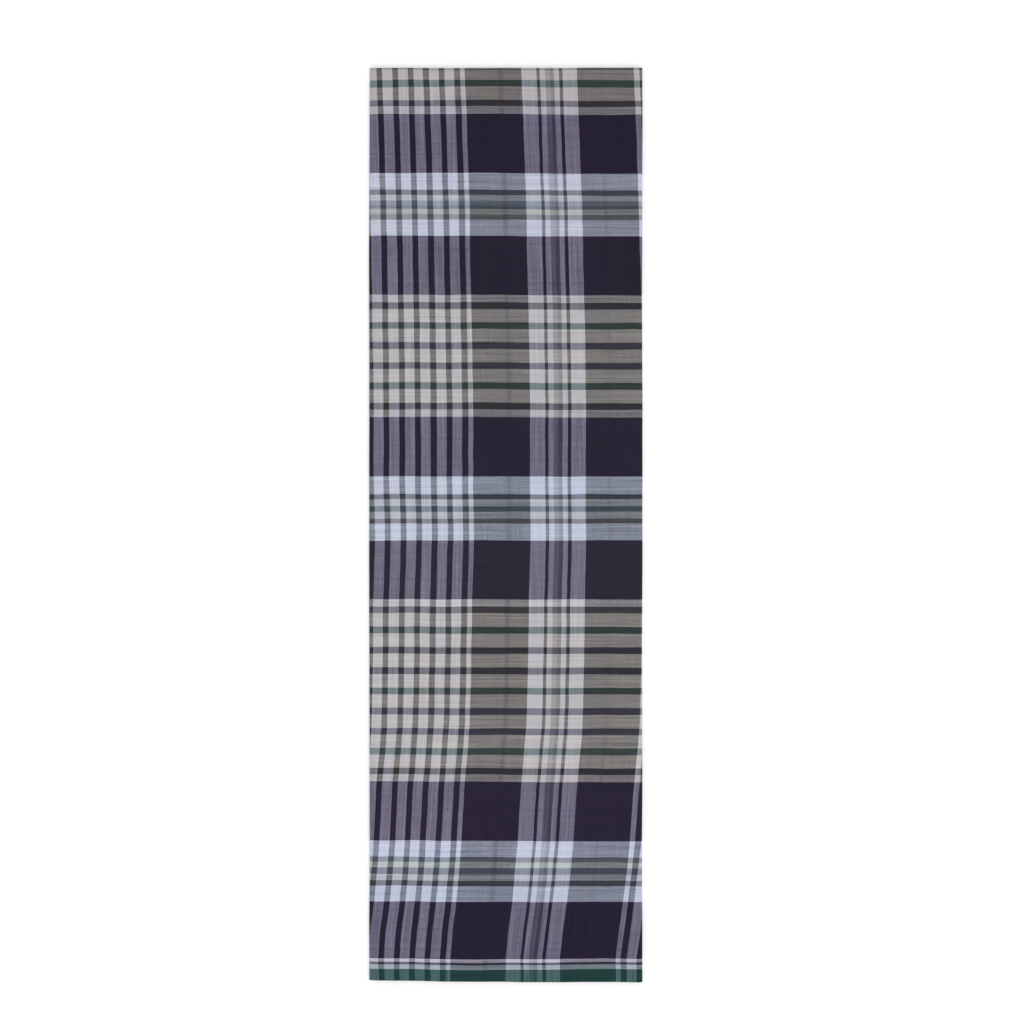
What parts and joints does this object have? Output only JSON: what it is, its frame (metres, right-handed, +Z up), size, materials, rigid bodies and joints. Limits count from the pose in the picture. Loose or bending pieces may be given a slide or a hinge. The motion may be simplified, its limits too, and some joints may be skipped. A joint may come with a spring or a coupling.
{
  "type": "folded longyi sarong",
  "caption": "Folded longyi sarong: a tube of yarn-dyed plaid cotton, flattened, folded in three into a long strip and lying flat.",
  "frame": {"origin": "on the surface that the cloth lies on, under the middle of its box", "axes": "+Y along the folded strip towards the waist edge, +X across it to the right when seen from above, +Z up"},
  "size_m": [0.3332, 1.118, 0.0075],
  "materials": {
    "plaid_cotton": "soft matt plain-weave cotton, navy, white and beige check with a green selvedge border",
    "plaid_cotton_under": "the same check, pressed flat on the underside",
    "plaid_cotton_inner": "the same check, seen only at the edges of the hidden plies",
    "felled_seam": "the same check, doubled and stitched in two rows"
  },
  "bodies": {
    "root": {"shown_panel": "plaid_cotton", "under_panel": "plaid_cotton_under", "side_seam": "felled_seam", "folded_layers": "plaid_cotton_inner"}
  },
  "joints": []
}
